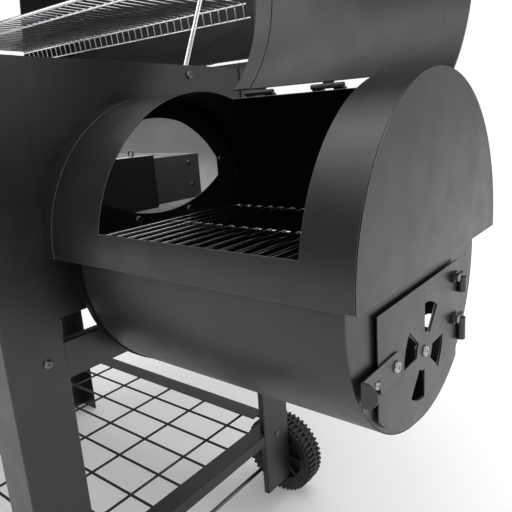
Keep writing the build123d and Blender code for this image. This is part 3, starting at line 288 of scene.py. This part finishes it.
GRATE_LOOK = plated("fire_grate_look", (0.50, 0.50, 0.51), 0.13, 9.0)
# Matt black soot look: soot on the charcoal grate and the grate brackets, and painted shade on the mounting
# ring.
SOOT_AND_PAINTED_SHADE_LOOK = sooted("soot_and_painted_shade_look", (0.006, 0.006, 0.006))
DARK_ZINC_LOOK = brushed("dark_zinc_look", (0.13, 0.13, 0.135), 0.36)


def chamber_coat(name, outside_mask):
    """Lighter grey on the side that faces the chamber, painted light for the light that falls into the
    chamber through the open lid, and black powder coat on the other side.
    """
    shader = Shader(name, CHAMBER_PAINTED_LIGHT_GREY, 0.42)
    softened = shader.soft_edges(0.0007)
    cloud = shader.noise(7.0, 4.0)
    clouding = shader.ranged(cloud, 0.0, 1.0)
    inside = shader.mixed(clouding, scaled(CHAMBER_PAINTED_LIGHT_GREY, 0.8), scaled(CHAMBER_PAINTED_LIGHT_GREY, 1.2))
    outside = shader.mixed(clouding, scaled(BLACK, 0.8), scaled(BLACK, 1.25))
    tone = shader.mixed(outside_mask(shader), inside, outside)
    # Edges painted lighter as a painted highlight.
    tone = shader.mixed(shader.edge_mask(softened), tone, DULL_EDGE_HIGHLIGHT)
    shader.bump(shader.noise(900.0, 2.0), 0.05, 0.0004)
    return shader.done(tone, shader.ranged(shader.noise(22.0, 4.0), 0.32, 0.42))


def outside_tub(shader):
    """Mask of the tub's outer side (walls, wide bends and flat bottom) and of all near its top edge."""
    parts = shader.node("ShaderNodeSeparateXYZ")
    shader.link(shader.place, parts.inputs[0])

    def math_node(kind, *values):
        node = shader.node("ShaderNodeMath", operation=kind)
        for socket, value in zip(node.inputs, values):
            if isinstance(value, float):
                socket.default_value = value
            else:
                shader.link(value, socket)
        return node.outputs[0]

    across = math_node("ABSOLUTE", math_node("SUBTRACT", parts.outputs["Y"], SHIFT_Y))
    over = math_node("MAXIMUM", math_node("SUBTRACT", across, TUB_BEND_Y), 0.0)
    under = math_node("MAXIMUM", math_node("SUBTRACT", TUB_BEND_Z, parts.outputs["Z"]), 0.0)
    squares = math_node("ADD", math_node("MULTIPLY", over, over), math_node("MULTIPLY", under, under))
    wall = math_node("GREATER_THAN", squares, TUB_BEND_R ** 2)
    return math_node("MAXIMUM", wall, math_node("GREATER_THAN", parts.outputs["Z"], TUB_LEDGE_Z))


# The edge colour is a painted highlight along the plates' edges.
def firebox_look(name, mask, edge=BRIGHT_EDGE_HIGHLIGHT):
    return powder_coat(name, FIREBOX_BLACK, 0.36, edge=edge, inside=mask)


OWN_LOOKS = {
    "fire_grate": GRATE_LOOK,
    "charcoal_grate": SOOT_AND_PAINTED_SHADE_LOOK,
    # The mounting ring takes the matt black soot look as painted shade, so that it sinks into the shade
    # inside the firebox.
    "firebox_mounting_ring": SOOT_AND_PAINTED_SHADE_LOOK,
    "grate_brackets": SOOT_AND_PAINTED_SHADE_LOOK,
    "tray_end_bracket": powder_coat("tray_bracket_look", (0.035, 0.035, 0.037), 0.36),
    "vent_disc": DARK_ZINC_LOOK,
    "door_screws": MATERIALS["zinc"],
    "keeper_screw": MATERIALS["zinc"],
    "door_bolts": DARK_ZINC_LOOK,
    "door_hinge_knuckles": MATERIALS["handle_grip"],
    "door_pins": MATERIALS["handle_grip"],
    "axle": DARK_ZINC_LOOK,
    "latch": MATERIALS["handle_grip"],
    "tub": chamber_coat("tub_look", outside_tub),
    "end_panel_left": chamber_coat("end_panel_left_look", beyond("X", LEFT_PANEL_MID_X, False)),
    "firebox_housing": firebox_look("housing_look", within(ARCH_Z, ARCH_MID_R)),
    "firebox_housing_end": firebox_look("housing_end_look", beyond("X", HOUSING_END_MID_X, False)),
    "firebox_collar": powder_coat("collar_look", FIREBOX_BLACK, 0.36, edge=BRIGHT_EDGE_HIGHLIGHT),
    "firebox_barrel": firebox_look("barrel_look", within(BARREL_Z, BARREL_MID_R), DULL_EDGE_HIGHLIGHT),
    "barrel_left_disc": firebox_look("disc_look", beyond("X", DISC_MID_X, True), DULL_EDGE_HIGHLIGHT),
    "barrel_end_cap": firebox_look("cap_look", beyond("X", END_CAP_MID_X, False), DULL_EDGE_HIGHLIGHT),
}


def dress_frame():
    for row in frame["record"]["subparts"]:
        name = row["node"]
        node = NODES[name]
        look = OWN_LOOKS.get(name, MATERIALS[row["material_slot"]])
        if not node.material_slots:
            node.data.materials.append(look)
        for slot in node.material_slots:
            slot.material = look


# ------------------------------------------------------------------ studio
FLOOR_HALF = 14.0
FLOOR_GLOW = (0.12, 0.6)                  # painted glow: weak under the object, which paints it darker there as painted shade, and strong far from it
FLOOR_GLOW_RANGE = (0.6, 2.6)


def make_floor():
    mesh = bpy.data.meshes.new("floor")
    far = FLOOR_HALF
    corners = [(-far, -far, 0), (far, -far, 0), (far, far, 0), (-far, far, 0)]
    mesh.from_pydata(corners, [], [(0, 1, 2, 3)])
    floor = bpy.data.objects.new("floor", mesh)
    bpy.context.scene.collection.objects.link(floor)
    shader = Shader("floor_look", (0.93, 0.93, 0.93), 0.85, **{"Specular IOR Level": 0.15})
    shader.set(shader.main, **{"Emission Color": (1.0, 1.0, 1.0, 1.0)})
    # The floor glows as painted light, weakest near the object as a painted shade round it.
    distance = shader.node("ShaderNodeVectorMath", operation="LENGTH")
    shader.link(shader.place, distance.inputs[0])
    glow = shader.ranged(distance.outputs["Value"], *FLOOR_GLOW, *FLOOR_GLOW_RANGE)
    shader.link(glow, shader.main.inputs["Emission Strength"])
    cloud = shader.ranged(shader.noise(1.5, 2.0), 0.0, 1.0)
    tone = shader.mixed(cloud, (0.92, 0.92, 0.92), (0.94, 0.94, 0.94))
    mesh.materials.append(shader.done(tone))


def make_light(name, at, towards, size, power):
    data = bpy.data.lights.new(name, "AREA")
    data.shape = "RECTANGLE"
    data.size, data.size_y = size
    data.energy = power
    lamp = bpy.data.objects.new(name, data)
    lamp.location = at
    lamp.rotation_euler = (Vector(towards) - Vector(at)).to_track_quat("-Z", "Y").to_euler()
    lamp.visible_camera = False
    bpy.context.scene.collection.objects.link(lamp)


# Axis of the direction, its range, and the brightness at the two ends of that range
WORLD_RAMPS = (("Y", 0.2, 0.9, 0.24, 0.66), ("Z", 0.25, 1.0, 0.0, 0.4))


def make_world():
    """White where the camera sees it; for lighting, soft grey that is brighter above and behind."""
    world = bpy.data.worlds.new("studio")
    world.use_nodes = True
    tree = world.node_tree
    place = tree.nodes.new("ShaderNodeTexCoord")
    parts = tree.nodes.new("ShaderNodeSeparateXYZ")
    tree.links.new(place.outputs["Generated"], parts.inputs[0])
    total = None
    for axis, low, high, low_to, high_to in WORLD_RAMPS:
        ramp = tree.nodes.new("ShaderNodeMapRange")
        ramp.interpolation_type = "SMOOTHSTEP"
        for key, value in (("From Min", low), ("From Max", high), ("To Min", low_to), ("To Max", high_to)):
            ramp.inputs[key].default_value = value
        tree.links.new(parts.outputs[axis], ramp.inputs["Value"])
        if total is None:
            total = ramp.outputs["Result"]
            continue
        added = tree.nodes.new("ShaderNodeMath")
        tree.links.new(total, added.inputs[0])
        tree.links.new(ramp.outputs["Result"], added.inputs[1])
        total = added.outputs[0]
    path = tree.nodes.new("ShaderNodeLightPath")
    choice = tree.nodes.new("ShaderNodeMath")
    choice.operation = "MAXIMUM"
    tree.links.new(path.outputs["Is Camera Ray"], choice.inputs[0])
    tree.links.new(total, choice.inputs[1])
    background = tree.nodes["Background"]
    background.inputs["Color"].default_value = (1.0, 1.0, 1.0, 1.0)
    tree.links.new(choice.outputs[0], background.inputs["Strength"])
    bpy.context.scene.world = world
    bpy.context.scene.view_settings.view_transform = "Standard"


def make_studio():
    make_world()
    make_light("softbox_top", (0.4, -0.5, 3.0), (0.2, 0.0, 0.7), (3.0, 2.2), 50.0)
    make_light("softbox_right", (2.6, -2.2, 2.0), (0.4, 0.0, 0.7), (1.6, 1.6), 20.0)
    make_light("softbox_side", (3.0, 1.3, 1.78), (0.3, -0.2, 0.9), (2.2, 1.7), 15.0)
    make_light("fill_lid", (-0.17, -0.28, 1.22), (-0.17, 0.3, 1.17), (0.9, 0.3), 2.2)
    make_light("fill_chamber", (-0.1, -0.06, 0.868), (-0.1, -0.0601, 0.3), (0.66, 0.36), 2.4)
    make_floor()


# ------------------------------------------------------------------ thermometer face
# Y and Z of the lid's parts from the chamber's middle, as the CAD draws them with the lid shut
LID_CENTRE = Vector((0.0, 0.8501))
LID_PIVOT = Vector((0.264, 0.933))
LID_OPEN = math.radians(95.0)
GAUGE_ANGLE = math.radians(118.0)
DIAL_FACE_R = 0.2675                      # from the lid's centre to the dial's printed face
DIAL_START = 225.0                        # angle of the dial's zero, in degrees
DIAL_SWEEP = 270.0
DIAL_STEPS = 40
DIAL_TOP = 400
DIAL_NUMBERS = 5


def gauge_place(depth):
    """Axes on the thermometer with the lid open, depth above the dial's printed face."""
    along = Vector((math.cos(GAUGE_ANGLE), math.sin(GAUGE_ANGLE)))
    arm = LID_CENTRE + along * DIAL_FACE_R - LID_PIVOT
    centre = LID_PIVOT + Matrix.Rotation(-LID_OPEN, 2) @ arm
    axis = GAUGE_ANGLE - LID_OPEN
    out = Vector((0.0, math.cos(axis), math.sin(axis)))
    right = Vector((-1.0, 0.0, 0.0))
    up = out.cross(right)
    turn = Matrix((right, up, out)).transposed().to_4x4()
    at = Vector((SHIFT_X, centre.x + SHIFT_Y, centre.y)) + out * depth
    return Matrix.Translation(at) @ turn


def dial_direction(share):
    """Direction on the dial at a share of its sweep, clockwise from zero."""
    angle = math.radians(DIAL_START - DIAL_SWEEP * share)
    return Vector((math.cos(angle), math.sin(angle), 0.0))


def add_to_lid(name, data, place):
    """Make an object that moves with the main lid."""
    made = bpy.data.objects.new(name, data)
    made.matrix_world = place
    bpy.context.scene.collection.objects.link(made)
    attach(made, "main_lid")


def dial_ticks(ink):
    mesh = bmesh.new()
    outer, thickness = 0.0282, 0.00012
    for step in range(DIAL_STEPS + 1):
        inner, half = (0.0225, 0.00045) if step % 5 == 0 else (0.0252, 0.0002)
        along = dial_direction(step / DIAL_STEPS)
        across = Vector((-along.y, along.x, 0.0)) * half
        near, far = along * inner, along * outer
        corners = (near - across, far - across, far + across, near + across)
        low = [mesh.verts.new(corner) for corner in corners]
        high = [mesh.verts.new(vertex.co + Vector((0.0, 0.0, thickness))) for vertex in low]
        mesh.faces.new(high)
        for n in range(4):
            after = (n + 1) % 4
            mesh.faces.new((low[n], low[after], high[after], high[n]))
    data = bpy.data.meshes.new("dial_ticks")
    mesh.to_mesh(data)
    data.materials.append(ink)
    add_to_lid("dial_ticks", data, gauge_place(0.00004))


def dial_numbers(ink):
    for count in range(DIAL_NUMBERS):
        share = count / (DIAL_NUMBERS - 1)
        name = f"dial_number_{count}"
        curve = bpy.data.curves.new(name, "FONT")
        curve.body = str(round(DIAL_TOP * share))
        curve.size = 0.0064
        curve.align_x = "CENTER"
        curve.align_y = "CENTER"
        curve.extrude = 0.00006
        curve.materials.append(ink)
        spot = dial_direction(share) * 0.0175
        add_to_lid(name, curve, gauge_place(0.0001) @ Matrix.Translation(spot))


def gauge_marks():
    """Ticks and numbers on the dial."""
    ink = moulded("dial_ink_look", (0.012, 0.012, 0.012), 0.5)
    dial_ticks(ink)
    dial_numbers(ink)


LENS_R = 0.0312
LENS_DOME = 0.0012
LENS_RINGS = 6
LENS_AROUND = 48


def lens_loop(mesh, ring, base):
    """One ring of points of a shallow dome, or its single middle point."""
    share = ring / LENS_RINGS
    r, z = LENS_R * share, base + LENS_DOME * (1.0 - share ** 2)
    points = []
    for n in range(LENS_AROUND if ring else 1):
        angle = math.tau * n / LENS_AROUND
        points.append(mesh.verts.new((r * math.cos(angle), r * math.sin(angle), z)))
    return points


def join_loops(mesh, inner, outer):
    for n in range(LENS_AROUND):
        m = (n + 1) % LENS_AROUND
        if len(inner) == 1:
            mesh.faces.new((inner[0], outer[n], outer[m]))
        else:
            mesh.faces.new((inner[n], outer[n], outer[m], inner[m]))


def gauge_lens():
    """Thin glass disc, slightly domed, set in the thermometer's cup."""
    mesh = bmesh.new()
    edges = []
    for base in (0.0072, 0.0062):
        loops = [lens_loop(mesh, ring, base) for ring in range(LENS_RINGS + 1)]
        for inner, outer in zip(loops, loops[1:]):
            join_loops(mesh, inner, outer)
        edges.append(loops[-1])
    join_loops(mesh, edges[1], edges[0])
    bmesh.ops.recalc_face_normals(mesh, faces=mesh.faces)
    data = bpy.data.meshes.new("gauge_lens")
    mesh.to_mesh(data)
    for polygon in data.polygons:
        polygon.use_smooth = True
    glass = Shader("gauge_glass_look", (0.97, 0.98, 0.98), 0.03, **{"Transmission Weight": 1.0, "IOR": 1.45})
    cloud = glass.ranged(glass.noise(30.0), 0.0, 1.0)
    data.materials.append(glass.done(glass.mixed(cloud, (0.95, 0.96, 0.96), (0.99, 0.99, 0.99))))
    add_to_lid("gauge_lens", data, gauge_place(0.0))


make_camera()
dress_frame()
gauge_marks()
gauge_lens()
make_studio()
